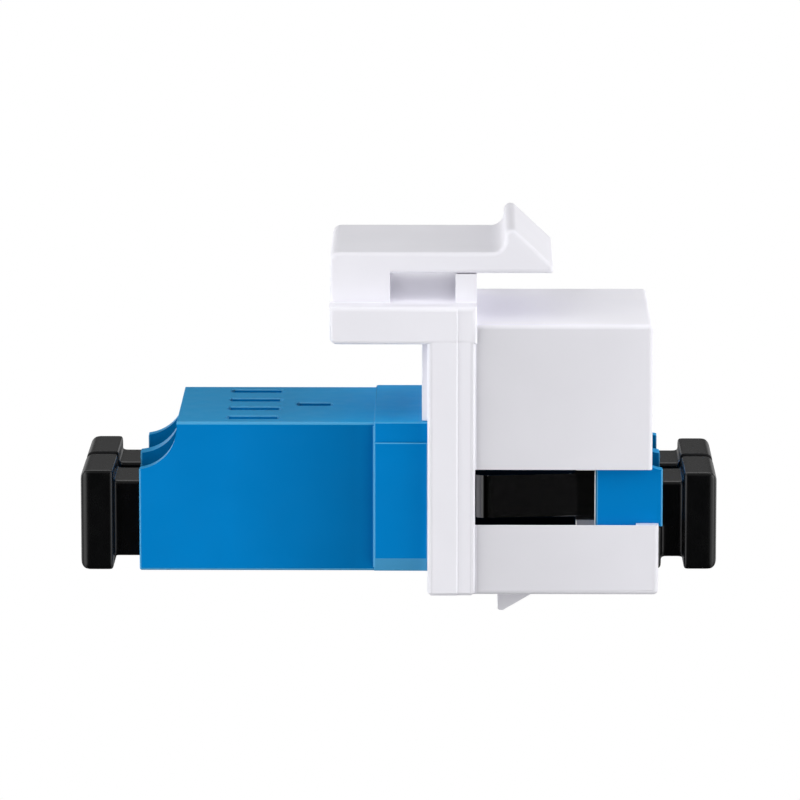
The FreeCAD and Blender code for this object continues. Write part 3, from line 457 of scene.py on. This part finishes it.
def hold_corners():
    """Nodes that take a point of a round back to its corner if it strays, and mark the edges still sharp."""
    group, start, end = shape_nodes("hold_corners")
    place = group.nodes.new("GeometryNodeInputPosition").outputs["Position"]
    noted = group.nodes.new("GeometryNodeInputNamedAttribute")
    noted.data_type = "FLOAT_VECTOR"
    noted.inputs["Name"].default_value = "corner"
    corner = noted.outputs["Attribute"]
    move = group.nodes.new("GeometryNodeSetPosition")
    group.links.new(start.outputs["Geometry"], move.inputs["Geometry"])
    group.links.new(over(group, apart(group, place, corner), EDGE_REACH), move.inputs["Selection"])
    group.links.new(corner, move.inputs["Position"])
    marked = store(group, move.outputs["Geometry"], "EDGE", "BOOLEAN", "sharp_edge", sharp_edges(group))
    group.links.new(marked, end.inputs["Geometry"])
    return group


def join_faces(node):
    """Join the faces of a piece where their corners meet."""
    weld = node.modifiers.new("join_faces", "WELD")
    weld.merge_threshold = WELD_REACH


def soften_edges(node, width, before, after):
    """Break a piece's sharp edges with a small round, and keep its flat faces flat."""
    node.modifiers.new("note_corners", "NODES").node_group = before
    bevel = node.modifiers.new("edge_round", "BEVEL")
    bevel.offset_type = "WIDTH"
    bevel.width = width
    bevel.segments = EDGE_SEGMENTS
    bevel.limit_method = "WEIGHT"
    bevel.use_clamp_overlap = False
    bevel.loop_slide = False
    node.modifiers.new("hold_corners", "NODES").node_group = after
    normals = node.modifiers.new("flat_shading", "WEIGHTED_NORMAL")
    normals.weight = FLAT_WEIGHT
    normals.keep_sharp = True


def round_over(node):
    """Round a cap's edges and inner corners softly all over."""
    grid = node.modifiers.new("fine_grid", "REMESH")
    grid.mode = "VOXEL"
    grid.voxel_size = CAP_GRID
    grid.use_smooth_shade = True
    even = node.modifiers.new("even_out", "SMOOTH")
    even.factor = CAP_STEP
    even.iterations = CAP_STEPS
    flats = node.modifiers.new("merge_flats", "DECIMATE")
    flats.decimate_type = "DISSOLVE"
    flats.angle_limit = CAP_FLAT_ANGLE


def dress(nodes, subparts):
    """Give every piece its finish and its soft edges."""
    finishes = {
        "shell_plastic": shell_finish(),
        "housing_plastic": housing_finish(),
        "clip_steel": clip_finish(),
        "sleeve_ceramic": sleeve_finish(),
        "cap_plastic": cap_finish(),
    }
    slots = {row["node"]: row["material_slot"] for row in subparts}
    before = note_corners()
    after = hold_corners()
    for name, node in nodes.items():
        slot = slots[name]
        node.data.materials.clear()
        node.data.materials.append(finishes[slot])
        join_faces(node)
        if slot == "cap_plastic":
            round_over(node)
        else:
            soften_edges(node, EDGE_ROUNDS[slot], before, after)


def add_camera():
    """The camera, at the photograph's place and angle."""
    data = bpy.data.cameras.new("photo_camera")
    data.lens = CAMERA_LENS_MM
    data.sensor_width = SENSOR_MM
    data.clip_start = CAMERA_NEAR
    data.clip_end = CAMERA_FAR
    camera = bpy.data.objects.new("photo_camera", data)
    camera.location = CAMERA_PLACE
    camera.rotation_euler = (math.pi / 2 - CAMERA_PITCH_DOWN, 0.0, CAMERA_YAW)
    bpy.context.scene.collection.objects.link(camera)
    bpy.context.scene.camera = camera


def add_floor(lowest):
    """A white floor, which neither lights the object nor shows in it."""
    height = lowest - FLOOR_DROP
    mesh = bpy.data.meshes.new("floor")
    corners = [(-FLOOR_REACH, -FLOOR_REACH, height), (FLOOR_REACH, -FLOOR_REACH, height),
               (FLOOR_REACH, FLOOR_REACH, height), (-FLOOR_REACH, FLOOR_REACH, height)]
    mesh.from_pydata(corners, [], [(0, 1, 2, 3)])
    mesh.materials.append(floor_finish())
    floor = bpy.data.objects.new("floor", mesh)
    bpy.context.scene.collection.objects.link(floor)
    floor.visible_diffuse = False
    floor.visible_glossy = False
    floor.visible_shadow = False


def add_slot_light():
    """A soft light inside the slot under the latch arm."""
    data = bpy.data.lights.new("slot_light", "AREA")
    data.shape = "RECTANGLE"
    data.size, data.size_y = SLOT_LIGHT_SIZE
    data.energy = SLOT_LIGHT_POWER
    lamp = bpy.data.objects.new("slot_light", data)
    lamp.location = SLOT_LIGHT_PLACE
    lamp.visible_camera = False
    lamp.visible_glossy = False
    bpy.context.scene.collection.objects.link(lamp)


def light_direction(azimuth, elevation):
    """The unit vector towards a light, from angles in degrees."""
    turn = math.radians(azimuth)
    rise = math.radians(elevation)
    return (math.sin(turn) * math.cos(rise), -math.cos(turn) * math.cos(rise), math.sin(rise))


def add_world(lights, fill):
    """Soft lights far away, as round bright places in a dim sky."""
    world = bpy.data.worlds.new("studio")
    bpy.context.scene.world = world
    world.use_nodes = True
    tree = world.node_tree
    sight = tree.nodes.new("ShaderNodeTexCoord").outputs["Generated"]
    total = tree.nodes.new("ShaderNodeValue").outputs["Value"]
    total.default_value = fill
    for name, azimuth, elevation, core, rim, strength in lights:
        aim = tree.nodes.new("ShaderNodeVectorMath")
        aim.operation = "DOT_PRODUCT"
        aim.inputs[1].default_value = light_direction(azimuth, elevation)
        tree.links.new(sight, aim.inputs[0])
        glow = tree.nodes.new("ShaderNodeMapRange")
        glow.name = name
        glow.interpolation_type = "SMOOTHSTEP"
        glow.inputs["From Min"].default_value = math.cos(math.radians(rim))
        glow.inputs["From Max"].default_value = math.cos(math.radians(core))
        glow.inputs["To Max"].default_value = strength
        tree.links.new(aim.outputs["Value"], glow.inputs["Value"])
        add = tree.nodes.new("ShaderNodeMath")
        tree.links.new(total, add.inputs[0])
        tree.links.new(glow.outputs["Result"], add.inputs[1])
        total = add.outputs["Value"]
    background = tree.nodes["Background"]
    background.inputs["Color"].default_value = WHITE
    tree.links.new(total, background.inputs["Strength"])


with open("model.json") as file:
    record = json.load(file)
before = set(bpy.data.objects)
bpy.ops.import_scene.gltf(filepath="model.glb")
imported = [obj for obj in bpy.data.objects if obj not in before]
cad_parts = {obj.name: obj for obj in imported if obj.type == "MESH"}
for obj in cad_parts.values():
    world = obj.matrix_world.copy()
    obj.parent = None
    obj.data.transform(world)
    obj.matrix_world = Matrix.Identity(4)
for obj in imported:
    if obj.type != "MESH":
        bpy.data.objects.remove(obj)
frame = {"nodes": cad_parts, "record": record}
cad_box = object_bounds()
bpy.context.scene.view_settings.view_transform = "Standard"
add_camera()
add_world(STUDIO_LIGHTS, WORLD_FILL)
add_slot_light()
add_floor(cad_box[0].z)
dress(frame["nodes"], frame["record"]["subparts"])
